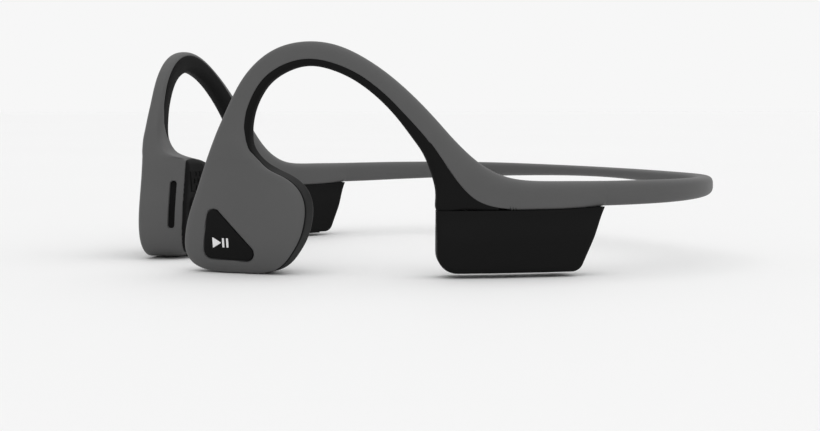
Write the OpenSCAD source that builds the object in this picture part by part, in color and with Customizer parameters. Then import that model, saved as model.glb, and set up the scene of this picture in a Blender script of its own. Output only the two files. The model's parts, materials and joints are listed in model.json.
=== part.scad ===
// Bone conduction headphones with a flexible neckband, two ear hooks, two
// driver pods at the cheekbones and two electronics pods behind the ears.
// Right-handed frame: +X is the wearer's left, -Y the front, +Z up. The origin
// is under the middle of the outline, level with the bottom of the drivers.
// Most shapes are drawn on the band's plan curve: a point is [s, n, z], with s
// the distance forwards along the curve, n the distance outwards from it and z
// the height. The right side mirrors the left one.

/* [Plan curve] */
// Rear of the band's middle line, behind the origin
band_rear_y = 59.8; // [58:0.2:64]
// Radius of the curve behind the neck
rear_r = 188; // [170:1:210]
// Radius of each rear corner
corner_r = 30; // [28:0.5:32]
// Radius of each side
arm_r = 105; // [100:1:110]
// Sweep of each half of the rear curve, in degrees
rear_sweep = 12; // [11:0.5:13]

/* [Neckband] */
// Top of the band
band_top = 19.7; // [19.4:0.1:20]
// Bottom of the band at its middle
band_bottom_mid = 17.1; // [16.6:0.1:17.3]
// Bottom of the band where it meets an arm
band_bottom_end = 14.4; // [14:0.1:15]
// Half thickness of the band
band_half_t = 2.2; // [2.1:0.05:2.5]
// Distance along the curve where the band meets an arm
arm_start = 13.2; // [12.8:0.1:13.6]

/* [Wires] */
// Radius of the titanium frame wire
wire_r = 0.45; // [0.35:0.05:0.45]
// Radius of the insulated signal cable
cable_r = 0.35; // [0.25:0.05:0.35]
// Height of both inside the band
wire_z = 18.25; // [18.2:0.05:18.3]

/* [Pods] */
// Half thickness of an electronics pod
pod_half_t = 4.5; // [4.4:0.1:5]
// Height of the pod's underside
pod_bottom = 0.8; // [0.6:0.1:1]
// Wall thickness of the pod shells
pod_wall = 1.1; // [1:0.05:1.2]
// Gap left at every parting line
seam = 0.05; // [0.03:0.01:0.08]

/* [Driver] */
// Place of the driver's axis along the curve
driver_s = 90.6; // [90:0.2:91]
// Height of the driver's axis
driver_z = 10.1; // [10.1:0.1:10.3]
// Outer radius of the driver frame
driver_r = 6.9; // [6.8:0.05:6.9]

/* [Controls] */
// Travel of the multifunction button
button_travel = 0.4; // [0.3:0.05:0.45]
// How far the volume keys stand below the pod
key_proud = 0.45; // [0.35:0.05:0.5]

/* [Hidden] */

GREY = [0.35, 0.35, 0.35];
BLACK = [0.11, 0.11, 0.11];
METAL = [0.62, 0.62, 0.64];
GOLD = [0.8, 0.62, 0.25];
GREEN = [0.08, 0.3, 0.16];

// ---- The plan curve ------------------------------------------------------
rear_c = [0, band_rear_y - rear_r];
corner_c = rear_c + (rear_r - corner_r) * [sin(rear_sweep), cos(rear_sweep)];
arm_c = corner_c - [arm_r - corner_r, 0];
corner_len = corner_r * (90 - rear_sweep) * PI / 180;
rear_len = rear_r * rear_sweep * PI / 180;
half_len = corner_len + rear_len;

function arm_deg(s) = s / arm_r * 180 / PI;
function on_arc(c, r, a, z) = [c[0] + r * cos(a), c[1] + r * sin(a), z];

// World place of a point [s, n, z] of the left side
function at(p) =
    p[0] >= 0 ? on_arc(arm_c, arm_r + p[1], -arm_deg(p[0]), p[2]) :
    p[0] >= -corner_len ?
        on_arc(corner_c, corner_r + p[1], -p[0] / corner_r * 180 / PI, p[2]) :
        on_arc(rear_c, rear_r + p[1],
               90 - (p[0] + half_len) / rear_r * 180 / PI, p[2]);

// World place of a point of the whole band, where a negative side is the right
function band_at(side, p) = let (w = at(p)) [side * w[0], w[1], w[2]];

// Children drawn at [s, n, z] with local X outwards, Y rearwards and Z up
module place(s, n, z) {
    translate(at([s, n, z])) rotate([0, 0, -arm_deg(s)]) children();
}

// Children drawn on the mirror side
module right() {
    mirror([1, 0, 0]) children();
}

// ---- Lofts -----------------------------------------------------------------
// Point at t of 0 to 1 on a smooth curve from p[i] to p[i + 1]
function between(p, i, t) =
    let (a = p[max(i - 1, 0)], b = p[i], c = p[i + 1], d = p[min(i + 2, len(p) - 1)])
    0.5 * (2 * b + (c - a) * t + (2 * a - 5 * b + 4 * c - d) * t * t
           + (3 * b - a - 3 * c + d) * t * t * t);

// Smooth curve through all of p, with k steps between neighbours
function smooth(p, k) =
    [for (i = [0 : len(p) - 2]) for (j = [0 : k - 1]) between(p, i, j / k),
     p[len(p) - 1]];

// Solid through a list of closed rings of world points; flat fan at each end
module loft(rings) {
    k = len(rings[0]);
    m = len(rings);
    points = [for (r = rings) each r];
    first = [for (j = [1 : k - 2]) [0, j + 1, j]];
    last = [for (j = [1 : k - 2]) [0, j, j + 1] + (m - 1) * k * [1, 1, 1]];
    polyhedron(points, concat(side_faces(m, k), first, last));
}

// Faces that join each ring of k points to the next
function side_faces(m, k, first = 0) = [for (i = [0 : m - 2]) for (j = [0 : k - 1])
    let (a = first + i * k + j, b = first + i * k + (j + 1) % k) each
    [[a, b, b + k], [a, b + k, a + k]]];
function turned(faces) = [for (f = faces) [f[0], f[2], f[1]]];

// Tube between an outer and an inner list of rings, with flat ends
module tube(outer, inner) {
    k = len(outer[0]);
    m = len(outer);
    far = m * k;
    function end_faces(o) = [for (j = [0 : k - 1]) let (a = o + j, b = o + (j + 1) % k) each
        [[a, far + b, b], [a, far + a, far + b]]];
    polyhedron([for (r = concat(outer, inner)) each r], concat(
        side_faces(m, k), turned(side_faces(m, k, far)),
        end_faces(0), turned(end_faces((m - 1) * k))));
}

// Half shell along a list of stations, open towards its parting plane.
// A station is [outer s, outer z, inner s, inner z, parting n at the outer
// edge, parting n at the inner edge, crown n, hollow height above the parting].
ARC = 10;
SQUARE = 0.55;
function bend(x) = sign(x) * pow(abs(x), SQUARE);
function across(st, u) = [st[0] + (st[2] - st[0]) * u, st[1] + (st[3] - st[1]) * u];
function part_n(st, u) = st[4] + (st[5] - st[4]) * u;
function shell_point(st, i, inset, height) =
    let (a = 180 * i / ARC,
         width = norm([st[2] - st[0], st[3] - st[1]]),
         edge = min(inset / width, 0.45),
         u = edge + (1 - 2 * edge) * (1 - bend(cos(a))) / 2,
         q = across(st, u),
         base = part_n(st, u))
    at([q[0], base + (height - base) * bend(sin(a)), q[1]]);
function hollow_n(st, wall) =
    let (base = (st[4] + st[5]) / 2, way = sign(st[6] - base),
         room = abs(st[6] - base) - wall)
    base + way * max(room, 0) * st[7];
function shell_ring(st, wall) = concat(
    [for (i = [0 : ARC]) shell_point(st, i, 0, st[6])],
    [for (i = [ARC : -1 : 0]) shell_point(st, i, wall, hollow_n(st, wall))]);

module half_shell(stations, wall, steps = 2) {
    rings = [for (st = smooth(stations, steps)) shell_ring(st, wall)];
    k = 2 * (ARC + 1);
    m = len(rings);
    flip = stations[0][6] > stations[0][4];
    points = [for (r = rings) each r];
    first = [for (j = [0 : ARC - 1]) let (c = k - 1 - j) each [[j, c, c - 1], [j, c - 1, j + 1]]];
    last = [for (j = [0 : ARC - 1]) let (o = (m - 1) * k, c = o + k - 1 - j) each
        [[o + j, c - 1, c], [o + j, o + j + 1, c - 1]]];
    faces = concat(side_faces(m, k), first, last);
    polyhedron(points, flip ? turned(faces) : faces);
}

// Round rod of radius r through a list of [s, n, z] points
module rod(path, r) {
    world = [for (p = path) at(p)];
    loft_rod(world, r);
}

module loft_rod(world, r) {
    m = len(world);
    rings = [for (i = [0 : m - 1])
        let (t = unit(world[min(i + 1, m - 1)] - world[max(i - 1, 0)]),
             across_t = unit(cross(t, unit([t[1], -t[0], 0]))),
             side_t = cross(across_t, t))
        [for (j = [0 : 7]) world[i] + r * (cos(45 * j) * side_t + sin(45 * j) * across_t)]];
    loft(rings);
}
function unit(v) = v / norm(v);

// ---- Hook outlines ---------------------------------------------------------
// Stations of the driver, from the hook down to the bottom. Its columns are
// [outer s, outer z, inner s, inner z, parting n at the outer edge, parting n
// at the inner edge, crown n away from the head, crown n towards it, hollow].
DRIVER = [
    [98.1, 28.3, 89.4, 27.8, -1.4, 0.2, 2.7, -2.4, 1],
    [99.9, 24.4, 87, 23.9, -3.6, 0.8, 2.9, -5, 0.8],
    [101.1, 21.6, 82.6, 21.2, -6.4, 1.3, 3, -10.6, 1],
    [102.6, 17.6, 78.2, 17.6, -8.4, 1.6, 3.1, -11.4, 1],
    [104.1, 13, 76.8, 13.2, -8.8, 1.6, 3.2, -11.4, 1],
    [105.3, 8, 78.1, 8, -8.8, 1.6, 3.2, -11.4, 1],
    [105.3, 4.4, 80.1, 4.3, -8.6, 1.5, 3, -11.2, 1],
    [104.2, 2.1, 82, 2.1, -8, 1.2, 2.6, -10.4, 1],
    [101.6, 0.6, 84.9, 0.6, -6, 0.8, 1.8, -8.5, 0.5],
    [98, 0, 88, 0, -3.5, 0.4, 1, -5, 0]
];

// Stations of the grey outer skin, from the band to the bottom of the driver
SKIN = concat([
    [arm_start, band_top, arm_start, 14.4, 0, 0, 2.5, 1],
    [24, 19.8, 24, 14, 0, 0, 2.9, 1],
    [34, 20.6, 35, 14.2, 0, 0, 3.1, 1],
    [40.4, 23.4, 42.5, 17.6, 0, 0, 2.8, 1],
    [48, 30.8, 51.5, 27.9, 0, 0, 2.3, 1],
    [57.5, 40.4, 61, 38.4, 0, 0, 2, 1],
    [67.5, 47.1, 69, 43.8, 0, 0, 1.9, 1],
    [76, 49.2, 76, 45.4, 0, 0, 1.9, 1],
    [84, 47.7, 82.5, 43.9, 0, 0, 1.9, 1],
    [90.6, 42.6, 87.3, 39.8, 0, 0, 1.9, 1],
    [94.6, 35.5, 90, 34, -0.5, 0, 2, 1]
], [for (d = DRIVER) [d[0], d[1], d[2], d[3], d[4], d[5], d[6], d[8]]]);

// Stations of the skin's inner half, which wraps the arm above the pod and
// meets the outer half at a parting line
SKIN_WRAP = [
    [arm_start, band_top, arm_start, 14.4, -seam, -seam, -2.5, 1],
    [24, 19.8, 24, 14, -seam, -seam, -2.9, 1],
    [33, 20.4, 34, 14.2, -seam, -seam, -3.1, 1],
    [39, 22.6, 40.2, 17, -seam, -seam, -2.8, 1]
];

// Stations of the black liner on the side that faces the head
LINER = [
    [41.5, 22.6, 49.6, 14, -seam, -seam, -3, 0],
    [45, 26.8, 50.7, 20.8, -seam, -seam, -2.6, 1],
    [50.2, 32.4, 53.4, 27, -seam, -seam, -2.3, 1],
    [57.9, 39.8, 60.4, 35.8, -seam, -seam, -2, 1],
    [67.7, 46.4, 68.4, 41.9, -seam, -seam, -1.9, 1],
    [76, 48.5, 76, 44, -seam, -seam, -1.9, 1],
    [83.6, 47.1, 81.9, 42.7, -seam, -seam, -1.9, 1],
    [90, 42.2, 86.2, 39, -seam, -seam, -1.9, 1],
    [93.9, 35.3, 88.6, 33.8, -0.5 - seam, -seam, -1.9, 1],
    [96.9, 29.9, 89, 29.1, -1.4 - seam, -seam, -1.9, 1]
];

// Stations of the edge trim, the dark strip along the inner edge of the hook
TRIM = [
    [42.8, 17.2, 49.5, 14.2, 0, 0, 2.9, 0],
    [46.8, 22, 50.6, 21.5, 0, 0, 2.5, 0],
    [52.2, 28.4, 53.3, 27.4, 0, 0, 2, 0],
    [61.2, 38.2, 61.5, 37.2, 0, 0, 1.6, 0],
    [69.1, 43.6, 69.2, 42.5, 0, 0, 1.5, 0],
    [76, 45.2, 76, 44.2, 0, 0, 1.5, 0],
    [82.4, 43.7, 81.8, 43, 0, 0, 1.5, 0],
    [87.1, 39.7, 86.3, 39.2, 0, 0, 1.5, 0],
    [89.8, 33.9, 88.9, 33.7, 0, 0, 1.6, 0],
    [89.15, 28.4, 88.5, 28.5, 0, 0, 1.9, 0]
];

// Stations of the driver housing, the dark cup that faces the cheekbone, with
// the gap that keeps its rim clear of the skin
cup_gap = 0.25;
// The gap widens where both shells close at the bottom of the driver
bottom_gap = 1;
HOUSING = [for (d = DRIVER)
    let (gap = cup_gap + (bottom_gap - cup_gap) * (1 - d[8]) * (d[1] < driver_z ? 1 : 0))
    [d[0], d[1], d[2], d[3], d[4] - gap, d[5] - gap, d[7], d[8]]];

// ---- Neckband --------------------------------------------------------------
// Bottom of the band at distance s
function ease(t) = let (c = min(max(t, 0), 1)) c * c * (3 - 2 * c);
function band_bottom(s) =
    band_bottom_end + (band_bottom_mid - band_bottom_end) * ease((arm_start - s) / (half_len + arm_start));

// Distances along one half of the band, from its middle to the arm
function band_steps(end) = [for (i = [0 : 14]) -half_len + (end + half_len) * i / 14];

// Places of the whole band, from the right arm to the left one
function whole(end) = let (st = band_steps(end)) concat(
    [for (i = [len(st) - 1 : -1 : 1]) [-1, st[i]]], [for (s = st) [1, s]]);

// Rounded upright section with half thickness t between two heights
function band_ring(side, s, t, low, high) = [for (j = [0 : 11])
    let (a = 30 * j + 15, mid = (low + high) / 2, half = (high - low) / 2)
    band_at(side, [s, t * bend(cos(a)), mid + half * bend(sin(a))])];

// Bore of the sleeve: half width and half height
bore_half_t = 1.5;
bore_half_h = 0.75;
// Offset of the wire towards the head and of the cable away from it
wire_n = 0.75;

module neckband_sleeve() {
    places = whole(arm_start - seam);
    color(GREY) tube(
        [for (w = places) band_ring(w[0], w[1], band_half_t, band_bottom(w[1]), band_top)],
        [for (w = places) band_ring(w[0], w[1], bore_half_t, wire_z - bore_half_h, wire_z + bore_half_h)]);
}

module band_rod(n, r) {
    loft_rod([for (w = whole(arm_start - 0.2)) band_at(w[0], [w[1], n, wire_z])], r);
}

module neckband_wire() {
    color(METAL) band_rod(-wire_n, wire_r);
}

module neckband_cable() {
    color(BLACK) band_rod(wire_n, cable_r);
}

// ---- Hooks -----------------------------------------------------------------
skin_wall = 0.8;

module hook_skin() {
    half_shell(SKIN, skin_wall);
    half_shell(SKIN_WRAP, skin_wall);
}

module hook_liner() {
    half_shell(LINER, skin_wall);
}

module edge_trim() {
    half_shell(TRIM, skin_wall);
}

// Path a fixed depth inside the skin's outer edge. It starts at n0 in line with
// the band and settles into the hollow of the skin's outer half.
wire_depth = 1.5;
cable_depth = 2.45;
hollow_mid_n = 0.5;
settle_len = 20;
last_wired = 10;
function edge_path(depth, n0) =
    [for (i = [0 : last_wired]) for (j = [0 : 2])
        let (st = between(SKIN, i, j / 3), q = across(st, depth / norm([st[2] - st[0], st[3] - st[1]])),
             t = ease((q[0] - arm_start) / settle_len))
        [q[0], n0 + (hollow_mid_n - n0) * t, i + j == 0 ? wire_z : q[1]]];

module hook_wire() {
    color(METAL) rod(edge_path(wire_depth, -wire_n), wire_r);
}

module hook_cable() {
    color(BLACK) rod(edge_path(cable_depth, wire_n), cable_r);
}

module driver_housing() {
    half_shell(HOUSING, 1);
}

// ---- Driver ----------------------------------------------------------------
// Local axes for the driver: Z points outwards, X rearwards, Y up
driver_n = -4.8;
module driver_axis() {
    place(driver_s, driver_n, driver_z) rotate([90, 0, 90]) children();
}

module ring(r_out, r_in, low, high) {
    translate([0, 0, low]) difference() {
        cylinder(r = r_out, h = high - low, $fn = 64);
        translate([0, 0, -1]) cylinder(r = r_in, h = high - low + 2, $fn = 64);
    }
}

module disc(r, low, high) {
    translate([0, 0, low]) cylinder(r = r, h = high - low, $fn = 64);
}

base_low = -4.4;
base_high = -3.7;
frame_top = 1.6;
yoke_r = 5.8;
yoke_bore = 5;
plate_r = 3.5;
yoke_low = -2.4;
yoke_back = 0.2;
yoke_top = 1;
boss_r = 1.5;
spring_t = 0.2;

module driver_frame() {
    color(BLACK) driver_axis() union() {
        ring(driver_r, driver_r - 0.8, base_low, frame_top);
        ring(driver_r - 0.4, 1.2, base_low, base_high);
    }
}

module voice_coil() {
    color("chocolate") driver_axis() ring(4.6, 3.85, base_high + seam, -1.2);
}

module driver_spring() {
    color(METAL) driver_axis() union() {
        ring(driver_r, driver_r - 0.9, frame_top + seam, frame_top + seam + spring_t);
        ring(2.6, boss_r + 0.05, frame_top + seam, frame_top + seam + spring_t);
        for (a = [0 : 120 : 240]) rotate(a)
            translate([2.2, -0.4, frame_top + seam]) cube([driver_r - 2.8, 0.8, spring_t]);
    }
}

module magnet_yoke() {
    color(METAL) driver_axis() union() {
        ring(yoke_r, yoke_bore, yoke_low, yoke_top);
        disc(yoke_bore + 0.4, yoke_back, yoke_top);
        disc(boss_r, yoke_back, frame_top + spring_t);
    }
}

module magnet() {
    color("silver") driver_axis() disc(plate_r - 0.2, -1.6, yoke_back - 0.02);
}

module top_plate() {
    color(METAL) driver_axis() disc(plate_r, yoke_low, -1.62);
}

module microphone() {
    color(GOLD) place(driver_s + 7, 0, 17.6) rotate([0, 90, 0])
        translate([0, 0, -1.5]) cylinder(r = 1.3, h = 2.2, $fn = 32);
}

// Flat piece of rounded outline that follows the side's curve. The outline is
// a list of [s, z]; each level is [n, inset towards the middle].
module curved_slab(outline, levels) {
    mid = [driver_s, driver_z];
    function drawn(p, inset) = let (v = p - mid, l = norm(v)) mid + v * (l - inset) / l;
    rings = [for (lv = levels) [for (p = outline) let (q = drawn(p, lv[1])) at([q[0], lv[0], q[1]])]];
    loft(rings);
}

PAD = [[101.6, 3.5], [102.4, 9], [101.4, 14], [90, 14.4], [79.6, 14], [80, 9], [82.4, 4], [86.5, 2], [97, 1.8]];

module contact_pad() {
    color(BLACK) curved_slab(smooth(concat(PAD, [PAD[0]]), 2),
        [[-12.5, 1.6], [-12.3, 0.7], [-11.9, 0.2], [-11.5, 0]]);
}

// Hexagonal field of holes in the plate above the contact pad
vent_pitch = 2.2;
vent_r = 0.45;

module vent_grille() {
    color(BLACK) place(driver_s, -12.1, 17.6) rotate([90, 0, 90]) difference() {
        translate([-8, -2.4, 0]) cube([15, 4.8, 0.5]);
        for (row = [-1, 1]) for (i = [-3 : 2])
            translate([(i + (row > 0 ? 0.5 : 0)) * vent_pitch, row * 1.1, -1])
                cylinder(r = vent_r, h = 3, $fn = 24);
    }
}

// ---- Multifunction button ----------------------------------------------------
button_s = 95.8;
button_z = 6.7;
// Undersides of the button's plate and of its plunger when pressed
plate_low = 2.2;
plunger_low = 1.1;
// Corners seen from outside: local X is rearwards, Y up
BUTTON = [[-1.9, 5.2], [5.6, -2.3], [-3, -2]];

module button_outline(r) {
    hull() for (c = BUTTON) translate(c) circle(r = r, $fn = 32);
}

module on_button(n) {
    place(button_s, n, button_z) rotate([90, 0, 90]) children();
}

module multifunction_button() {
    color(BLACK) on_button(0) union() {
        translate([0, 0, plate_low]) linear_extrude(0.75) button_outline(1.7);
        translate([0, 0, plunger_low + button_travel]) cylinder(r = 1, h = 1, $fn = 32);
    }
}

module button_switch() {
    color("silver") on_button(0) union() {
        translate([-1.6, -1.6, 0.05]) cube([3.2, 3.2, 0.7]);
        disc(1.1, 0.7, 1);
    }
}

module button_board() {
    color(GREEN) on_button(0) translate([-3, -2.6, -0.6]) cube([6, 5.2, 0.6]);
}

// ---- Pods --------------------------------------------------------------------
pod_s = 33;
pod_top = 13.9;
pod_front = 49.8;
pod_back_top = 14.4;
pod_back_bottom = 19;
corner = 3.4;

// Points of a round corner of radius r about c, between two angles
function round_corner(c, r, from, to) =
    [for (i = [0 : 8]) let (a = from + (to - from) * i / 8) c + r * [cos(a), sin(a)]];

// Pod outline in local axes: X is rearwards from pod_s, Y is the height
function pod_outline(inset) =
    let (rear = pod_s - pod_back_top - inset, rear_low = pod_s - pod_back_bottom - inset,
         front = pod_s - pod_front + inset, low = pod_bottom + inset,
         big = corner - inset, small = 2.2 - inset)
    concat([[front, pod_top - inset]],
           round_corner([front + big, low + big], big, 180, 270),
           round_corner([rear_low - small, low + small], small, 270, 340),
           [[rear, pod_top - inset]]);

module arm_ring(low_n, high_n) {
    translate([arm_c[0], arm_c[1], -1]) difference() {
        cylinder(r = arm_r + high_n, h = 18, $fn = 180);
        translate([0, 0, -1]) cylinder(r = arm_r + low_n, h = 20, $fn = 180);
    }
}

module pod_block(low_n, high_n, inset) {
    intersection() {
        arm_ring(low_n, high_n);
        place(pod_s, 0, 0) rotate([90, 0, 90]) translate([0, 0, -10])
            linear_extrude(20) polygon(pod_outline(inset));
    }
}

module pod_outer_shell() {
    difference() {
        pod_block(seam, pod_half_t, 0);
        pod_block(-1, pod_half_t - pod_wall, pod_wall);
    }
}

module pod_inner_shell() {
    difference() {
        pod_block(-pod_half_t, -seam, 0);
        pod_block(-pod_half_t + pod_wall, 1, pod_wall);
    }
}

// ---- Left pod's contents -------------------------------------------------------
module pod_box(s, n, z, size) {
    place(s, n, z) translate([-size[0] / 2, -size[1] / 2, 0]) cube(size);
}

module battery_cell() {
    color("silver") pod_box(36, 0, 3, [5, 21, 8.6]);
}

module battery_foam_pad() {
    color("gold") pod_box(36, 0, 2.1, [4, 18, 0.8]);
}

module battery_board() {
    color(GREEN) pod_box(22.4, 0, 5, [4.4, 0.8, 7]);
}

// ---- Right pod's contents --------------------------------------------------------
module main_board() {
    color(GREEN) pod_box(32, 0.9, 4, [0.8, 21.6, 8.6]);
}

module bluetooth_module() {
    color("silver") pod_box(28, -0.6, 5, [1.6, 9, 6.6]);
}

// Socket shell with its mouth facing down
usb_s = 41.2;
usb_n = -0.65;
module usb_port() {
    color("silver") place(usb_s, usb_n, 2.5) difference() {
        translate([-1.2, -3.8, 0]) cube([2.3, 7.6, 5]);
        translate([-0.8, -3.4, -1]) cube([1.5, 6.8, 5.2]);
    }
}

key_len = 6;
key_gap = 0.6;
key_first = 24.6;
key_half_t = 1.5;
function key_s(i) = key_first + i * (key_len + key_gap);

// Volume key: plate, flange that keeps it in the pod, and a post for the switch
module volume_key(i, grow = 0) {
    place(key_s(i), 0, 0) union() {
        translate([-key_half_t - grow, -key_len / 2 - grow, pod_bottom - key_proud - 2 * grow])
            cube([2 * (key_half_t + grow), key_len + 2 * grow, key_proud + pod_wall + 0.1 + 3 * grow]);
    }
}

module key_body(i) {
    color(BLACK) union() {
        volume_key(i);
        place(key_s(i), 0, pod_bottom + pod_wall + 0.09) translate([-0.5, -0.5, 0]) cube([1, 1, 0.31]);
    }
}

module volume_up_button() {
    key_body(1);
}

module volume_down_button() {
    key_body(0);
}

module volume_switches() {
    color("silver") for (i = [0, 1])
        pod_box(key_s(i), -0.5, pod_bottom + pod_wall + 0.75, [1.7, 3, 0.7]);
}

module light_pipe() {
    color("white") place(36.2, 2.2, 2.6) cylinder(r = 0.7, h = 2.2, $fn = 32);
}

module vibration_motor() {
    color("silver") place(46, 0, 10.1) rotate([90, 0, 90]) translate([0, 0, -1.3])
        cylinder(r = 2.3, h = 2.4, $fn = 48);
}

cover_len = 10.4;
cover_half_t = 2;
cover_t = 0.9;
cover_pivot_s = 46.2;
// Room in front of the hinge for the cover's face when it's open
swing_room = 0.65;

// Port cover with a round hinge barrel at its front end, in local axes
module cover_shape(grow) {
    place(cover_pivot_s, 0, pod_bottom + cover_t / 2) union() {
        translate([-cover_half_t - grow, 0, -cover_t / 2 - grow])
            cube([2 * (cover_half_t + grow), cover_len + grow, cover_t + 2 * grow]);
        translate([-cover_half_t - grow, 0, 0]) rotate([0, 90, 0])
            cylinder(r = cover_t / 2 + grow, h = 2 * (cover_half_t + grow), $fn = 32);
    }
}

module charge_port_cover() {
    color(BLACK) cover_shape(0);
}

// Openings of the right pod for the keys and the port
module right_openings() {
    for (i = [0, 1]) volume_key(i, 0.08);
    cover_shape(0.1);
    place(cover_pivot_s, 0, pod_bottom - 0.1) translate([-cover_half_t - 0.1, -swing_room, 0])
        cube([2 * (cover_half_t + 0.1), swing_room, cover_t / 2 + 0.1]);
    place(usb_s, usb_n, 0) translate([-0.8, -3.4, 0]) cube([1.5, 6.8, 3]);
}

// ---- Nodes ---------------------------------------------------------------------
module left_hook_skin() {
    color(GREY) difference() {
        hook_skin();
        on_button(0) translate([0, 0, plate_low - button_travel - 0.1]) linear_extrude(3) button_outline(1.85);
    }
}

module left_hook_liner() { color(BLACK) hook_liner(); }
module left_edge_trim() { color(BLACK) edge_trim(); }
module left_driver_housing() { color(BLACK) driver_housing(); }
module left_pod_outer_shell() { color(BLACK) pod_outer_shell(); }
module left_pod_inner_shell() { color(BLACK) pod_inner_shell(); }
module right_hook_skin() { color(GREY) right() hook_skin(); }
module right_hook_liner() { color(BLACK) right() hook_liner(); }
module right_edge_trim() { color(BLACK) right() edge_trim(); }
module right_driver_housing() { color(BLACK) right() driver_housing(); }

module right_pod_outer_shell() {
    color(BLACK) right() difference() {
        pod_outer_shell();
        right_openings();
    }
}

module right_pod_inner_shell() {
    color(BLACK) right() difference() {
        pod_inner_shell();
        right_openings();
    }
}

neckband_sleeve();
neckband_wire();
neckband_cable();
left_hook_skin();
left_hook_liner();
left_edge_trim();
hook_wire();  // left_hook_wire
hook_cable();  // left_hook_cable
left_driver_housing();
contact_pad();  // left_contact_pad
vent_grille();  // left_vent_grille
driver_frame();  // left_driver_frame
voice_coil();  // left_voice_coil
driver_spring();  // left_driver_spring
magnet_yoke();  // left_magnet_yoke
magnet();  // left_magnet
top_plate();  // left_top_plate
microphone();  // left_microphone
left_pod_outer_shell();
left_pod_inner_shell();
battery_cell();
battery_foam_pad();
battery_board();
multifunction_button();
button_switch();
button_board();
right_hook_skin();
right_hook_liner();
right_edge_trim();
right() hook_wire();  // right_hook_wire
right() hook_cable();  // right_hook_cable
right_driver_housing();
right() contact_pad();  // right_contact_pad
right() vent_grille();  // right_vent_grille
right() driver_frame();  // right_driver_frame
right() voice_coil();  // right_voice_coil
right() driver_spring();  // right_driver_spring
right() magnet_yoke();  // right_magnet_yoke
right() magnet();  // right_magnet
right() top_plate();  // right_top_plate
right() microphone();  // right_microphone
right_pod_outer_shell();
right_pod_inner_shell();
right() main_board();
right() bluetooth_module();
right() usb_port();
right() volume_switches();
right() light_pipe();
right() vibration_motor();
right() volume_up_button();
right() volume_down_button();
right() charge_port_cover();
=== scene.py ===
"""Looks of the bone conduction headphones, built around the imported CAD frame.

Shapes are drawn on the band's plan curve, as in the CAD model: a point is (s, n, z) in
millimetres, with s the distance forwards along the curve, n the distance outwards from it
and z the height. place() turns such points into metres in the shared frame.
"""
import json
import math

import bpy
import numpy as np
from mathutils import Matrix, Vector


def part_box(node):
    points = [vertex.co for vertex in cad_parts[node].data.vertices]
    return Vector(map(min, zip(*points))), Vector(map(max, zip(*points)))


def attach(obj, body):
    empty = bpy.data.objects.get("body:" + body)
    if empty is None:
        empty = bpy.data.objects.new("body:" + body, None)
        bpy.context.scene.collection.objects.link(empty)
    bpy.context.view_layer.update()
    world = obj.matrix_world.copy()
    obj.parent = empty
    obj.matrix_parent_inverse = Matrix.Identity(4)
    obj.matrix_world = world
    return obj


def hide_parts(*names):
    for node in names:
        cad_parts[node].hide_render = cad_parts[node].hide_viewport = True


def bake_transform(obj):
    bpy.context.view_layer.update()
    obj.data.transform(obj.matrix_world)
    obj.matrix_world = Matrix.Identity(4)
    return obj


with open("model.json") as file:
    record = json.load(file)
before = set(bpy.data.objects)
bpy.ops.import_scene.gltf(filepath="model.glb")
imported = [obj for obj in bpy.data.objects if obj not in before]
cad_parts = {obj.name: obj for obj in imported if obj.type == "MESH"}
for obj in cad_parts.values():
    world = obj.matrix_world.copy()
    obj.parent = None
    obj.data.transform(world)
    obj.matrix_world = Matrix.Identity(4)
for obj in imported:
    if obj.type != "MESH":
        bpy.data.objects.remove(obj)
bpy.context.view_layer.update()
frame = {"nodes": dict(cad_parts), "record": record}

# ---- Plan curve ---------------------------------------------------------------------------
MM = 0.001
LEFT = 1
RIGHT = -1
SIDE_NAMES = {LEFT: "left", RIGHT: "right"}
REAR_R = 188.0
CORNER_R = 30.0
ARM_R = 105.0
REAR_SWEEP = math.radians(12)
BAND_HALF_T = 2.2
REAR_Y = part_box("neckband_sleeve")[1].y / MM - BAND_HALF_T
REAR_C = np.array([0, REAR_Y - REAR_R])
CORNER_C = REAR_C + (REAR_R - CORNER_R) * np.array([math.sin(REAR_SWEEP), math.cos(REAR_SWEEP)])
ARM_C = CORNER_C - np.array([ARM_R - CORNER_R, 0])
CORNER_LEN = CORNER_R * (math.pi / 2 - REAR_SWEEP)
HALF_LEN = CORNER_LEN + REAR_R * REAR_SWEEP
ARM_START = 13.2
BAND_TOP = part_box("neckband_sleeve")[1].z / MM
BAND_BOTTOM_END = 14.4
BAND_BOTTOM_MID = 17.1
GAP = 0.05
WIRE_Z = 18.25


def place(points, side=LEFT):
    """World points in metres of an array of (s, n, z) points in millimetres."""
    p = np.asarray(points, float)
    s, n, z = p[..., 0], p[..., 1], p[..., 2]
    arm = -s / ARM_R
    corner = -s / CORNER_R
    rear = math.pi / 2 - (s + HALF_LEN) / REAR_R
    on_arm = s >= 0
    on_corner = (s < 0) & (s >= -CORNER_LEN)
    angle = np.where(on_arm, arm, np.where(on_corner, corner, rear))
    radius = np.where(on_arm, ARM_R, np.where(on_corner, CORNER_R, REAR_R)) + n
    cx = np.where(on_arm, ARM_C[0], np.where(on_corner, CORNER_C[0], REAR_C[0]))
    cy = np.where(on_arm, ARM_C[1], np.where(on_corner, CORNER_C[1], REAR_C[1]))
    return np.stack([side * (cx + radius * np.cos(angle)), cy + radius * np.sin(angle), z], -1) * MM


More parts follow.
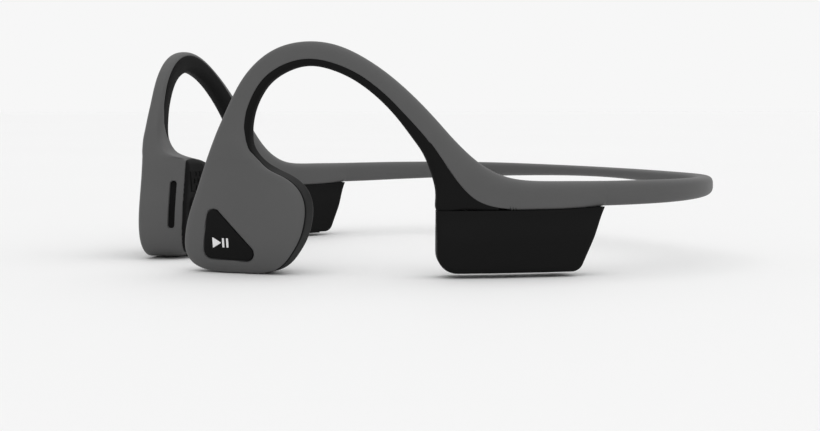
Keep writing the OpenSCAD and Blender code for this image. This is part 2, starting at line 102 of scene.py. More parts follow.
# ---- Curves and meshes -------------------------------------------------------------------
def spline(knots, rows, at):
    """Natural cubic spline through rows at the given knots, read at the places in at."""
    x = np.asarray(knots, float)
    y = np.asarray(rows, float)
    h = np.diff(x)
    count = len(x)
    a = np.eye(count)
    b = np.zeros_like(y)
    for i in range(1, count - 1):
        a[i, i - 1:i + 2] = h[i - 1], 2 * (h[i - 1] + h[i]), h[i]
        b[i] = 6 * ((y[i + 1] - y[i]) / h[i] - (y[i] - y[i - 1]) / h[i - 1])
    m = np.linalg.solve(a, b)
    at = np.asarray(at, float)
    i = np.clip(np.searchsorted(x, at, side="right") - 1, 0, count - 2)
    left = (x[i + 1] - at)[:, None]
    right = (at - x[i])[:, None]
    w = h[i][:, None]
    return (m[i] * left ** 3 / (6 * w) + m[i + 1] * right ** 3 / (6 * w)
            + (y[i] / w - m[i] * w / 6) * left + (y[i + 1] / w - m[i + 1] * w / 6) * right)


def run_length(points):
    """Distance along a polyline at each of its points."""
    return np.concatenate([[0], np.cumsum(np.linalg.norm(np.diff(points, axis=0), axis=1))])


def along(points, length, at):
    """Points at the given distances along a polyline."""
    return np.column_stack([np.interp(at, length, column) for column in points.T])


def resample(points, count):
    """Evenly spaced points along an open polyline."""
    length = run_length(points)
    return along(points, length, np.linspace(0, length[-1], count))


def closed_spline(points, count):
    """Evenly spaced points along a smooth closed curve."""
    loop = np.vstack([points, points[:3]])
    knots = run_length(loop)
    start, end = knots[1], knots[len(points) + 1]
    return spline(knots, loop, np.linspace(start, end, count + 1))[:-1]


def smoothstep(x):
    t = np.clip(x, 0, 1)
    return t * t * (3 - 2 * t)


def grid_mesh(name, points, ring=True, caps=(), flip=False):
    """Mesh object of a grid of world points [rows][columns][xyz].

    A cap is a row and the way it is closed: as a fan round its middle, or as a strip across.
    """
    rows, cols = points.shape[:2]
    verts = points.reshape(-1, 3)
    faces = []
    for i in range(rows - 1):
        for j in range(cols if ring else cols - 1):
            k = (j + 1) % cols
            faces.append((i * cols + j, i * cols + k, (i + 1) * cols + k, (i + 1) * cols + j))
    for row, kind in caps:
        base = row * cols
        start = row == 0
        if kind == "fan":
            verts = np.vstack([verts, verts[base:base + cols].mean(0)])
            hub = len(verts) - 1
            for j in range(cols):
                a, b = base + j, base + (j + 1) % cols
                faces.append((b, a, hub) if start else (a, b, hub))
        else:
            for j in range(cols // 2 - 1):
                a, b = base + j, base + j + 1
                c, d = base + cols - 2 - j, base + cols - 1 - j
                faces.append((b, a, d, c) if start else (a, b, c, d))
    if flip:
        faces = [f[::-1] for f in faces]
    return make_object(name, verts, faces)


def make_object(name, verts, faces, sharp=35):
    mesh = bpy.data.meshes.new(name)
    mesh.from_pydata([tuple(v) for v in verts], [], faces)
    mesh.validate()
    mesh.shade_smooth()
    mesh.set_sharp_from_angle(angle=math.radians(sharp))
    obj = bpy.data.objects.new(name, mesh)
    bpy.context.scene.collection.objects.link(obj)
    return obj


def finish_piece(obj, material, slot, body=None, nodes=()):
    """Gives a piece its material, hides the CAD nodes it stands for, and lets it ride; the slot is
    not used.
    """
    obj.data.materials.clear()
    obj.data.materials.append(material)
    if nodes:
        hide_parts(*nodes)
    if body:
        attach(obj, body)
    return obj


# ---- Materials ------------------------------------------------------------------------------
class Nodes:
    """Small helper that adds and joins shader nodes."""

    def __init__(self, name):
        self.material = bpy.data.materials.new(name)
        self.material.use_nodes = True
        self.tree = self.material.node_tree
        self.shader = self.tree.nodes["Principled BSDF"]

    def add(self, kind, **inputs):
        node = self.tree.nodes.new(kind)
        for key, value in inputs.items():
            socket = node.inputs[key.replace("_", " ")]
            if hasattr(value, "is_output"):
                self.tree.links.new(value, socket)
            else:
                socket.default_value = value
        return node

    def link(self, source, target):
        self.tree.links.new(source, self.shader.inputs[target])

    def noise(self, scale, detail=3.0, roughness=0.5):
        place_at = self.tree.nodes.new("ShaderNodeTexCoord").outputs["Object"]
        return self.add("ShaderNodeTexNoise", Vector=place_at, Scale=scale, Detail=detail,
                        Roughness=roughness).outputs["Fac"]

    def ramp(self, value, low, high):
        node = self.add("ShaderNodeMapRange", Value=value, To_Min=low, To_Max=high)
        return node.outputs["Result"]

    def tint(self, value, dark, light):
        node = self.tree.nodes.new("ShaderNodeMix")
        node.data_type = "RGBA"
        self.tree.links.new(value, node.inputs["Factor"])
        node.inputs[6].default_value = (*dark, 1)
        node.inputs[7].default_value = (*light, 1)
        return node.outputs[2]

    def bump(self, value, strength, distance):
        node = self.add("ShaderNodeBump", Height=value, Strength=strength, Distance=distance)
        self.link(node.outputs["Normal"], "Normal")


def grey(level):
    return (level, level, level)


def soft_touch(name, level, rough=0.62, sheen=0.25, grain=9000.0, shine=0.3):
    """Soft-touch silicone: matte, with a fine moulded grain, faint mottling and a little sheen."""
    m = Nodes(name)
    mottle = m.noise(60.0, 4.0)
    m.link(m.tint(mottle, grey(level * 0.94), grey(level * 1.06)), "Base Color")
    m.link(m.ramp(m.noise(220.0), rough - 0.05, rough + 0.05), "Roughness")
    m.bump(m.noise(grain, 2.0), 0.12, 0.00005)
    m.shader.inputs["Sheen Weight"].default_value = sheen
    m.shader.inputs["Sheen Roughness"].default_value = 0.4
    m.shader.inputs["Specular IOR Level"].default_value = shine
    m.shader.inputs["IOR"].default_value = 1.5 if level > 0.05 else 1.25
    return m.material


def moulded(name, level, rough=0.45, grain=5200.0, shine=0.3):
    """Moulded plastic with a fine spark-eroded texture."""
    m = Nodes(name)
    m.link(m.tint(m.noise(90.0, 3.0), grey(level * 0.93), grey(level * 1.07)), "Base Color")
    m.link(m.ramp(m.noise(400.0), rough - 0.06, rough + 0.06), "Roughness")
    m.bump(m.noise(grain, 3.0), 0.18, 0.00006)
    m.shader.inputs["Specular IOR Level"].default_value = shine
    m.shader.inputs["IOR"].default_value = 1.25
    return m.material


def metal(name, colour, rough=0.3, grain=2500.0):
    """Metal with fine scratches along its length."""
    m = Nodes(name)
    m.link(m.tint(m.noise(300.0, 4.0), tuple(c * 0.85 for c in colour), colour), "Base Color")
    m.link(m.ramp(m.noise(grain, 2.0), rough - 0.08, rough + 0.12), "Roughness")
    m.bump(m.noise(grain, 2.0), 0.1, 0.00004)
    m.shader.inputs["Metallic"].default_value = 1.0
    return m.material


def clear_plastic(name):
    m = Nodes(name)
    m.link(m.tint(m.noise(80.0), (0.8, 0.82, 0.85), (0.9, 0.92, 0.95)), "Base Color")
    m.link(m.ramp(m.noise(300.0), 0.08, 0.16), "Roughness")
    m.shader.inputs["Transmission Weight"].default_value = 0.8
    return m.material


def circuit(name):
    """Solder mask with a faint pattern of copper tracks."""
    m = Nodes(name)
    place_at = m.tree.nodes.new("ShaderNodeTexCoord").outputs["Object"]
    tracks = m.add("ShaderNodeTexBrick", Vector=place_at, Scale=1500.0)
    m.link(m.tint(tracks.outputs["Fac"], (0.01, 0.09, 0.04), (0.03, 0.16, 0.07)), "Base Color")
    m.link(m.ramp(m.noise(500.0), 0.25, 0.4), "Roughness")
    m.bump(tracks.outputs["Fac"], 0.2, 0.00005)
    return m.material


def foam(name):
    m = Nodes(name)
    m.link(m.tint(m.noise(1800.0, 5.0), grey(0.015), grey(0.05)), "Base Color")
    m.link(m.ramp(m.noise(900.0), 0.8, 0.95), "Roughness")
    m.bump(m.noise(2600.0, 4.0), 0.6, 0.0002)
    return m.material


GREY_SKIN = soft_touch("grey_silicone", 0.088, sheen=0.1)
BLACK_SKIN = soft_touch("black_silicone", 0.0085, rough=0.6, sheen=0.02, shine=0.14)
BLACK_SHELL = moulded("black_plastic", 0.0085, rough=0.55, shine=0.14)
BLACK_PART = moulded("black_inner_plastic", 0.006, rough=0.6, shine=0.12)
MARK = soft_touch("white_mark", 0.8, rough=0.5, sheen=0.0)
SLOT_MATERIALS = {
    "grey_skin": GREY_SKIN,
    "black_skin": BLACK_SKIN,
    "black_shell": BLACK_SHELL,
    "black_part": BLACK_PART,
    "titanium": metal("titanium_wire", (0.55, 0.53, 0.5), 0.32),
    "steel": metal("stamped_steel", (0.62, 0.62, 0.64), 0.28),
    "magnet": metal("nickel_plate", (0.72, 0.71, 0.7), 0.16),
    "copper": metal("copper_winding", (0.6, 0.25, 0.1), 0.35, 6000.0),
    "gold_mesh": metal("gold_can", (0.8, 0.58, 0.22), 0.25),
    "circuit": circuit("solder_mask"),
    "cell": metal("foil_pouch", (0.66, 0.67, 0.7), 0.38),
    "foam": foam("closed_cell_foam"),
    "clear": clear_plastic("light_guide"),
    "black_insulation": soft_touch("cable_insulation", 0.02, rough=0.4, sheen=0.0),
}


def paint_cad_nodes():
    """Every carried-over CAD node takes the material of its slot."""
    for part in frame["record"]["subparts"]:
        mesh = frame["nodes"][part["node"]].data
        mesh.materials.clear()
        mesh.materials.append(SLOT_MATERIALS[part["material_slot"]])


# ---- Hook and driver shells ---------------------------------------------------------------
# Columns of the stations: outer edge s and z, inner edge s and z, share of the outer face and of
# the inner face that is grey, half thickness away from the head and towards it, squareness of
# the outer face, of the inner face and of the inner edge, and how far the inner face has turned
# into the driver's dome
EDGE_S, EDGE_Z, INNER_S, INNER_Z, GREY_OUT, GREY_IN = range(6)
THICK_OUT, THICK_IN, SQUARE_OUT, SQUARE_IN, SQUARE_EDGE, DOMED = range(6, 12)
# One row a station, from the band to the bottom of the driver
STATIONS = (
    (13.2, 19.7, 13.2, 14.4, 1.0, 1.0, 2.3, 2.6, 3.0, 3.0, 3.0, 0.0),
    (15.2, 19.7, 15.2, 14.32, 1.0, 1.0, 2.45, 2.7, 3.0, 3.0, 7.0, 0.0),
    (19.0, 19.75, 19.0, 14.15, 1.0, 1.0, 2.75, 2.85, 3.0, 3.0, 12.0, 0.0),
    (24.0, 19.8, 24.0, 14.0, 1.0, 1.0, 2.95, 2.9, 3.0, 3.0, 12.0, 0.0),
    (31.5, 20.15, 32.2, 13.95, 1.0, 1.0, 3.0, 3.0, 2.9, 2.9, 12.0, 0.0),
    (37.0, 21.6, 40.5, 13.95, 0.845, 0.85, 3.0, 3.0, 2.8, 2.8, 12.0, 0.0),
    (40.2, 23.4, 45.5, 13.94, 0.62, 0.63, 3.0, 3.0, 2.7, 2.7, 12.0, 0.0),
    (42.6, 25.3, 49.78, 13.98, 0.445, 0.46, 3.0, 3.0, 2.7, 2.7, 8.0, 0.0),
    (43.9, 26.5, 49.92, 16.3, 0.47, 0.46, 2.9, 2.9, 2.6, 2.6, 5.0, 0.0),
    (46.9, 29.6, 50.8, 21.3, 0.555, 0.46, 2.65, 2.65, 2.6, 2.6, 3.0, 0.0),
    (49.2, 32.2, 52.5, 25.6, 0.63, 0.44, 2.45, 2.45, 2.5, 2.5, 2.6, 0.0),
    (51.4, 34.6, 54.5, 28.6, 0.65, 0.42, 2.3, 2.3, 2.5, 2.5, 2.5, 0.0),
    (55.2, 38.4, 58.0, 33.2, 0.7, 0.37, 2.15, 2.15, 2.5, 2.5, 2.5, 0.0),
    (63.6, 45.0, 66.0, 40.45, 0.69, 0.3, 2.0, 2.0, 2.5, 2.5, 2.5, 0.0),
    (69.8, 48.1, 70.9, 42.9, 0.72, 0.27, 1.95, 1.95, 2.5, 2.5, 2.5, 0.0),
    (76.2, 49.2, 76.0, 44.0, 0.73, 0.26, 1.95, 1.95, 2.5, 2.5, 2.5, 0.0),
    (82.0, 48.4, 80.4, 43.2, 0.74, 0.26, 1.95, 1.95, 2.5, 2.5, 2.5, 0.0),
    (87.5, 45.5, 84.9, 40.6, 0.75, 0.25, 1.95, 1.95, 2.5, 2.5, 2.5, 0.0),
    (91.4, 41.5, 87.3, 37.6, 0.78, 0.24, 2.0, 1.9, 2.5, 2.5, 2.5, 0.0),
    (94.4, 36.5, 88.8, 34.2, 0.81, 0.27, 2.15, 1.8, 2.6, 2.5, 2.6, 0.0),
    (96.5, 32.2, 89.4, 31.0, 0.87, 0.4, 2.5, 1.8, 2.8, 2.6, 2.8, 0.0),
    (97.5, 30.0, 89.45, 29.3, 0.92, 0.57, 2.65, 1.8, 3.1, 2.8, 3.1, 0.0),
    (98.2, 28.3, 89.3, 27.6, 0.955, 0.72, 2.85, 2.0, 3.2, 3.0, 3.5, 0.05),
    (99.1, 26.2, 88.3, 25.5, 0.975, 0.8, 2.87, 2.9, 3.4, 3.2, 4.2, 0.2),
    (99.75, 24.7, 87.0, 24.0, 0.98, 0.78, 2.78, 4.6, 3.6, 3.4, 5.0, 0.5),
    (100.1, 23.95, 86.1, 23.1, 0.98, 0.8, 2.66, 7.0, 3.6, 3.5, 5.6, 0.8),
    (100.35, 23.4, 85.4, 22.55, 0.98, 0.8, 2.64, 9.2, 3.6, 3.6, 6.0, 1.0),
    (100.6, 22.8, 84.5, 22.0, 0.98, 0.8, 2.62, 10.5, 3.6, 3.6, 6.3, 1.0),
    (101.1, 21.6, 82.6, 21.15, 0.98, 0.8, 2.6, 11.2, 3.6, 3.6, 6.5, 1.0),
    (102.3, 18.5, 79.0, 18.8, 0.98, 0.8, 2.57, 11.4, 3.6, 3.6, 6.5, 1.0),
    (103.65, 15.2, 77.2, 15.6, 0.98, 0.8, 2.55, 11.4, 3.6, 3.6, 6.5, 1.0),
    (105.2, 11.0, 77.2, 11.0, 0.98, 0.8, 2.5, 11.4, 3.6, 3.6, 6.5, 1.0),
    (105.95, 7.5, 78.3, 7.4, 0.98, 0.8, 2.35, 11.4, 3.6, 3.6, 6.5, 1.0),
    (106.0, 5.0, 79.8, 4.8, 0.98, 0.8, 2.05, 11.3, 3.6, 3.6, 6.5, 1.0),
    (105.35, 3.0, 81.3, 2.8, 0.98, 0.8, 1.6, 11.0, 3.6, 3.6, 6.2, 1.0),
    (103.6, 1.3, 83.3, 1.15, 0.98, 0.8, 0.9, 10.0, 3.6, 3.6, 5.6, 1.0),
    (100.6, 0.35, 85.9, 0.3, 0.98, 0.6, 0.4, 8.4, 3.4, 3.6, 5.0, 1.0),
    (97.5, 0.05, 88.9, 0.05, 0.98, 0.45, 0.2, 6.0, 3.2, 3.6, 4.0, 1.0),
)
LAST_STATION = len(STATIONS) - 1
# Places in the table where the liner starts and where the rows of the driver start
FIRST_LINER_STATION = 4.6
FIRST_DRIVER_STATION = 20.0
# Stations between which the shoulder of the cup runs
SHOULDER = (23.0, 29.0)
# Stations that describe the full outer face and the full cup of the driver
FACE_STATIONS = slice(26, None)
CUP_STATIONS = slice(28, None)
# Stations before the last over which the shells fill up to close
CLOSING_START = 2.2
CLOSING_END = 0.2
# Distance between rows, and points on the outer run of a row
HOOK_STEP = 0.5
SHOULDER_STEP = 0.1
SKIN_COLUMNS = 186
SKIN_DRIVER_STEP = 0.26
LINER_COLUMNS = 132
LINER_DRIVER_STEP = 0.3
SECTION_POINTS = 240
DOME_SMOOTHING = 8
# Wall of a shell, and its most as a share of the width and of the half thickness
WALL = 0.85
WALL_OF_WIDTH = 0.28
WALL_OF_THICKNESS = 0.45
# Seam between the grey and the dark shell: gap, rounding, depth, least run of the dark one
SEAM_GAP = 0.045
SEAM_ROUND = 0.22
SEAM_DIP = 0.08
LEAST_RUN = 0.02
# Border (s, z) of the grey skin above the pod, and the last station it applies to
BORDER = np.array([(20.0, 13.4), (30.0, 13.7), (36.7, 14.35), (39.5, 15.0), (42.3, 16.45),
                   (45.1, 19.4), (47.9, 23.4), (50.1, 26.7), (53.0, 30.6)])
LAST_BORDER_STATION = 10
# Share of the outer face above which the border lies on the flat inner edge of the section
ON_EDGE = 0.97
# Distance towards the head at which the grey skin ends on the driver
GREY_END = 8.75
# Inner face of the driver, as shares of its width and depth: front wall, dome, rear slope
DOME = np.array([(0, 0), (0, -0.8), (0.03, -0.85), (0.42, -1), (0.68, -1), (0.985, -0.42),
                 (1, -0.38), (1, 0)])


def station_rows(first, driver_step):
    """Smooth rows from a place in STATIONS to the last one, closer together round the driver.

    Also gives how open the shell still is at each row: 1 for hollow, 0 for closed.
    """
    table = np.array(STATIONS)
    knots = (run_length(table[:, [EDGE_S, EDGE_Z]]) + run_length(table[:, [INNER_S, INNER_Z]])) / 2
    index = np.arange(len(table))
    stops = np.interp([first, FIRST_DRIVER_STATION, *SHOULDER, LAST_STATION], index, knots)
    hook_start, driver_start, shoulder_start, shoulder_end, end = stops
    at = np.concatenate([np.arange(hook_start, driver_start, HOOK_STEP),
                         even_steps(driver_start, shoulder_start, driver_step, False),
                         even_steps(shoulder_start, shoulder_end, SHOULDER_STEP, False),
                         even_steps(shoulder_end, end, driver_step, True)])
    rows = spline(knots, table, at)
    for column in (GREY_OUT, GREY_IN, SQUARE_OUT, SQUARE_IN, SQUARE_EDGE, DOMED):
        rows[:, column] = np.interp(at, knots, table[:, column])
    arm = at < np.interp(LAST_BORDER_STATION, index, knots)
    length = run_length(BORDER)
    border = spline(length, BORDER, np.linspace(0, length[-1], 200))
    rows[arm, GREY_OUT] = [border_share(row, border) for row in rows[arm]]
    to_go = LAST_STATION - np.interp(at, knots, index)
    return rows, np.clip((to_go - CLOSING_END) / (CLOSING_START - CLOSING_END), 0, 1)


def even_steps(start, end, step, with_end):
    return np.linspace(start, end, int((end - start) / step), endpoint=with_end)


def border_share(row, border):
    """Share of a station's width at which it crosses the border of the grey skin above the pod."""
    share = np.linspace(0, 1, 100)
    s = row[EDGE_S] + (row[INNER_S] - row[EDGE_S]) * share
    z = row[EDGE_Z] + (row[INNER_Z] - row[EDGE_Z]) * share
    over = z - np.interp(s, border[:, 0], border[:, 1])
    below = np.flatnonzero(over < 0)
    if not len(below):
        return 1.0
    i = below[0]
    return share[i - 1] + (share[i] - share[i - 1]) * over[i - 1] / (over[i - 1] - over[i])


def station_width(row):
    return math.hypot(row[INNER_S] - row[EDGE_S], row[INNER_Z] - row[EDGE_Z])


def half_loop(width, height, square, edge_square, count):
    """Half of a section's outline, from the outer edge to the inner one."""
    a = np.linspace(0, math.pi, count)
    power = 2 / np.where(a < math.pi / 2, square, edge_square)
    c, s = np.cos(a), np.sin(a)
    u = width / 2 * (1 - np.sign(c) * np.abs(c) ** power)
    return np.column_stack([u, height * np.abs(s) ** power])


def section_halves(width, row):
    """Outer and inner halves of a station's outline as (u, v) points, each from the outer edge."""
    outer = half_loop(width, row[THICK_OUT], row[SQUARE_OUT], row[SQUARE_EDGE], 600)
    inner = half_loop(width, -row[THICK_IN], row[SQUARE_IN], row[SQUARE_EDGE], 600)
    outer = resample(outer, SECTION_POINTS)
    inner = resample(inner, SECTION_POINTS)
    domed = np.clip(row[DOMED], 0, 1)
    if domed > 0:
        dome = resample(DOME * [width, row[THICK_IN]], SECTION_POINTS)
        inner = (1 - domed) * inner + domed * dome
        for _ in range(DOME_SMOOTHING):
            inner[1:-1] = (inner[:-2] + 2 * inner[1:-1] + inner[2:]) / 4
    return outer, inner


def sector(width, row, dark, count):
    """Part of a section's outline: the grey share round the outer edge, or the dark rest.

    The inner and the outer face each keep their own number of points, so that the columns of
    the mesh run straight where the border between grey and black turns.
    """
    outer, inner = section_halves(width, row)
    out_len, in_len = run_length(outer), run_length(inner)
    grey_out = np.interp(min(row[GREY_OUT], ON_EDGE) * width, outer[:, 0], out_len)
    grey_out += (out_len[-1] - grey_out) * max(row[GREY_OUT] - ON_EDGE, 0) / (1 - ON_EDGE)
    grey_in = min(row[GREY_IN], 1.0) * in_len[-1]
    too_deep = np.flatnonzero(inner[:, 1] < -GREY_END)
    if len(too_deep):
        grey_in = min(grey_in, in_len[too_deep[0]])
    face = count // 2
    if dark:
        out_start = min(grey_out + SEAM_GAP, out_len[-1] - LEAST_RUN)
        in_end = min(grey_in + SEAM_GAP, in_len[-1] - LEAST_RUN)
        on_outer = along(outer, out_len, np.linspace(out_start, out_len[-1], face))
        on_inner = along(inner, in_len, np.linspace(in_len[-1], in_end, count - face + 1)[1:])
        return np.vstack([on_outer, on_inner])
    on_inner = along(inner, in_len, np.linspace(grey_in - SEAM_GAP, 0, face + 1)[:-1])
    on_outer = along(outer, out_len, np.linspace(0, grey_out - SEAM_GAP, count - face))
    return np.vstack([on_inner, on_outer])


def shell_points(row, hollow, dark, count):
    """Outer run and inner run of (u, v) points of one shell at a station.

    Where the shell closes, the inner run moves to the straight line between the seams.
    """
    width = station_width(row)
    outer = sector(width, row, dark, count)
    run = run_length(outer)
    from_end = np.minimum(run, run[-1] - run)
    dip = SEAM_DIP * (1 - smoothstep(from_end / SEAM_ROUND))
    away = outer - [width / 2, (row[THICK_OUT] - row[THICK_IN]) / 2]
    outer = outer - away / np.maximum(np.linalg.norm(away, axis=1), 1e-6)[:, None] * dip[:, None]
    wall = min(WALL, width * WALL_OF_WIDTH, row[THICK_OUT] * WALL_OF_THICKNESS)
    thin = row.copy()
    thin[THICK_OUT] -= wall
    thin[THICK_IN] -= wall
    inner_count = count // 3
    inner = sector(width - 2 * wall, thin, dark, inner_count) + [wall, 0]
    chord = outer[0] + (outer[-1] - outer[0]) * np.linspace(0, 1, inner_count)[:, None]
    return outer, chord + (inner - chord) * hollow


def across(row, uv):
    """Points (s, n, z) of section points (u, v)."""
    share = uv[:, :1] / station_width(row)
    sz = row[[EDGE_S, EDGE_Z]] + (row[[INNER_S, INNER_Z]] - row[[EDGE_S, EDGE_Z]]) * share
    return np.column_stack([sz[:, 0], uv[:, 1], sz[:, 1]])


# ---- Button pocket and slot -----------------------------------------------------------------
# Middle of the button, and its corners in a flat plane over the outer face: rearwards, up
BUTTON_S = 95.8
BUTTON_Z = 6.7
BUTTON_CORNERS = np.array([(-1.9, 5.2), (5.6, -2.3), (-3.0, -2.0)])
BUTTON_R = 1.7
# Length on the outer face for a length on the plan curve
BUTTON_SCALE = (ARM_R + 3) / ARM_R
POCKET_GROW = 0.22
POCKET_DEPTH = 0.75
POCKET_SLOPE = 0.28
DISH_DEPTH = 0.1
DISH_REACH = 0.9
# n above which a point of the skin belongs to the outer face
OUTER_FACE_N = 0.8
SLOT_Z = (8.0, 17.4)
SLOT_N = -6.2
SLOT_R = 0.78
SLOT_DEPTH = 1.1
SLOT_GROW = 0.1225
SLOT_SLOPE = 0.35
SLOT_REACH = 4
# Rows of the skin that the pocket and the slot can touch
CUT_BELOW_Z = 21
CUT_BEYOND_S = 90


def corner_distance(points, corners):
    """Signed distance from a convex polygon, below zero inside."""
    p = np.asarray(points, float)
    best = np.full(len(p), 1e9)
    inside = np.ones(len(p), bool)
    area = 0.0
    for a, b in zip(corners, np.roll(corners, -1, axis=0)):
        area += a[0] * b[1] - a[1] * b[0]
    for a, b in zip(corners, np.roll(corners, -1, axis=0)):
        ab = b - a
        t = np.clip(((p - a) @ ab) / (ab @ ab), 0, 1)
        best = np.minimum(best, np.linalg.norm(p - a - t[:, None] * ab, axis=1))
        cross = ab[0] * (p[:, 1] - a[1]) - ab[1] * (p[:, 0] - a[0])
        inside &= (cross * math.copysign(1, area)) >= 0
    return np.where(inside, -best, best)


def face_height(z):
    """n of the outer face's crown at a height on the driver."""
    table = np.array(STATIONS)[FACE_STATIONS][::-1]
    return np.interp(z, table[:, EDGE_Z], table[:, THICK_OUT])


def button_plane(s, z):
    """Flat coordinates of a point on the outer face: rearwards and up from the button's middle."""
    return np.column_stack([(BUTTON_S - s) * BUTTON_SCALE, z - BUTTON_Z])


def on_button(flat, height):
    """Places points of the button's flat plane at a height over the outer face."""
    s = BUTTON_S - flat[:, 0] / BUTTON_SCALE
    z = flat[:, 1] + BUTTON_Z
    return place(np.column_stack([s, face_height(z) + height, z]))


def cut_pocket(points):
    """Sinks the outer face round the button, with a soft dish that leads into it."""
    d = corner_distance(button_plane(points[:, 0], points[:, 2]), BUTTON_CORNERS) - BUTTON_R
    deep = POCKET_DEPTH * smoothstep((POCKET_GROW - d) / POCKET_SLOPE)
    dish = DISH_DEPTH * (1 - smoothstep((d - POCKET_GROW) / DISH_REACH))
    points[:, 1] -= np.where(points[:, 1] > OUTER_FACE_N, deep + dish, 0)
    return points


def cut_slot(points, row):
    """Sinks an upright slot into the front edge."""
    z = np.clip(points[:, 2], *SLOT_Z)
    d = np.hypot(points[:, 2] - z, points[:, 1] - SLOT_N) - SLOT_R
    front = points[:, 0] > row[EDGE_S] - SLOT_REACH
    deep = np.where(front, SLOT_DEPTH * smoothstep((SLOT_GROW - d) / SLOT_SLOPE), 0)
    inward = (row[[INNER_S, INNER_Z]] - row[[EDGE_S, EDGE_Z]]) / station_width(row)
    points[:, 0] += deep * inward[0]
    points[:, 2] += deep * inward[1]
    return points


def build_shell(name, side, dark, columns, first, driver_step):
    """Hollow shell along a hook and driver: the grey skin, or the dark liner and cup."""
    rows, hollow = station_rows(first, driver_step)
    rings = []
    for row, share in zip(rows, hollow):
        outer, inner = shell_points(row, share, dark, columns)
        points = across(row, outer)
        if not dark and row[EDGE_Z] < CUT_BELOW_Z and row[EDGE_S] > CUT_BEYOND_S:
            points = cut_slot(points, row)
            if side == LEFT:
                points = cut_pocket(points)
        rings.append(np.vstack([points, across(row, inner)[::-1]]))
    verts, faces = shell_faces(place(np.array(rings), side), columns, columns // 3)
    if side == RIGHT:
        faces = [f[::-1] for f in faces]
    return make_object(name, verts, faces)


def shell_faces(world, outer_count, inner_count):
    """Grid faces along the rings, and end caps that join the outer run to the inner one."""
    rows, cols = world.shape[:2]
    faces = []
    for i in range(rows - 1):
        for j in range(cols):
            k = (j + 1) % cols
            faces.append((i * cols + j, (i + 1) * cols + j, (i + 1) * cols + k, i * cols + k))
    for row in (0, rows - 1):
        base = row * cols
        for j in range(outer_count - 1):
            a = base + j
            c = base + cols - 1 - min(j * inner_count // outer_count, inner_count - 1)
            d = base + cols - 1 - min((j + 1) * inner_count // outer_count, inner_count - 1)
            face = (a, a + 1, d) if c == d else (a, a + 1, d, c)
            faces.append(face if row == 0 else face[::-1])
    return world.reshape(-1, 3), faces


def build_hooks():
    """Grey skin and dark liner of both hooks, from the band to the bottom of the driver."""
    for side, word in SIDE_NAMES.items():
        skin = build_shell(word + "_skin", side, False, SKIN_COLUMNS, 0, SKIN_DRIVER_STEP)
        finish_piece(skin, GREY_SKIN, "grey_skin", word + "_arm", [word + "_hook_skin"])
        liner = build_shell(word + "_liner_and_cup", side, True, LINER_COLUMNS,
                            FIRST_LINER_STATION, LINER_DRIVER_STEP)
        finish_piece(liner, BLACK_SKIN, "black_skin", word + "_arm",
                     [word + "_hook_liner", word + "_edge_trim", word + "_driver_housing"])


# ---- Neckband -------------------------------------------------------------------------------
BAND_SQUARE = 2.9
BAND_STEPS = 150
BEND_Z = 18.0
# Rods inside the sleeve: name, n, radius, material slot
BAND_RODS = (
    ("wire", -0.75, 0.45, "titanium"),
    ("cable", 0.75, 0.35, "black_insulation"),
)


def band_bottom(s):
    """Height of the sleeve's underside: lower at the arms than in the middle of the rear."""
    share = smoothstep((ARM_START - s) / (HALF_LEN + ARM_START))
    return BAND_BOTTOM_END + (BAND_BOTTOM_MID - BAND_BOTTOM_END) * share


def band_section(s, count=56):
    """Ring of (s, n, z) points of the sleeve: an upright section with softly rounded faces."""
    height = BAND_TOP - band_bottom(s)
    outer = half_loop(height, BAND_HALF_T, BAND_SQUARE, BAND_SQUARE, 200)
    inner = half_loop(height, -BAND_HALF_T, BAND_SQUARE, BAND_SQUARE, 200)
    ring = resample(np.vstack([outer, inner[-2::-1]]), count + 1)[:-1]
    return np.column_stack([np.full(count, s), ring[:, 1], BAND_TOP - ring[:, 0]])


def rod_section(s, n, r, count=12):
    """Ring of (s, n, z) points of a wire or a cable."""
    a = np.linspace(0, 2 * math.pi, count, endpoint=False)
    return np.column_stack([np.full(count, s), n + r * np.cos(a), WIRE_Z + r * np.sin(a)])


def band_mesh(name, rings, side, flip):
    caps = [(0, "fan"), (len(rings) - 1, "fan")]
    return grid_mesh(name, place(np.array(rings), side), caps=caps, flip=flip)


def build_neckband():
    """Both halves of the band, each from its middle to the end of its arm."""
    steps = np.linspace(-HALF_LEN, ARM_START - GAP, BAND_STEPS)
    for side, word in SIDE_NAMES.items():
        middle = Vector(place([-HALF_LEN, 0, BEND_Z], side))
        end = Vector(place([ARM_START, 0, BEND_Z], side))
        rings = [band_section(s) for s in steps]
        sleeve = band_mesh(word + "_band_sleeve", rings, side, side == LEFT)
        finish_piece(sleeve, GREY_SKIN, "grey_skin", None, ["neckband_sleeve"])
        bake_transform(sleeve)
        for thing, n, r, slot in BAND_RODS:
            rings = [rod_section(s, n, r) for s in steps]
            rod = band_mesh(word + "_band_" + thing, rings, side, side == RIGHT)
            finish_piece(rod, SLOT_MATERIALS[slot], slot, None, ["neckband_" + thing])
            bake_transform(rod)


# ---- Pods -----------------------------------------------------------------------------------
POD_HALF_T = 4.5
POD_TOP = 13.9
POD_BOTTOM = 0.8
POD_FRONT = 49.8
POD_BACK_TOP = 13.7
POD_BACK_BOTTOM = 19.0
POD_WALL = 1.0
POD_CORNER = 4.2
POD_REAR_CORNER = 2.6
POD_EDGE_R = 1.3
POD_EDGE_R_INSIDE = 0.6
# Share of the half thickness at the top, and the height over which it grows to the full one
POD_TOP_SHARE = 0.7
POD_TAPER = 7.0
# Height (s, z) of the top of a pod
POD_TOP_LINE = ((13.2, 24.0, 32.0, 50.0), (14.34, 13.96, 13.9, 13.9))
# Scales of the rings that close the flat faces
OUTER_RINGS = (0.96, 0.9, 0.8, 0.65, 0.5, 0.35, 0.2, 0.08)
INNER_RINGS = (0.15, 0.5, 0.85)
FACE_CROWN = 0.04


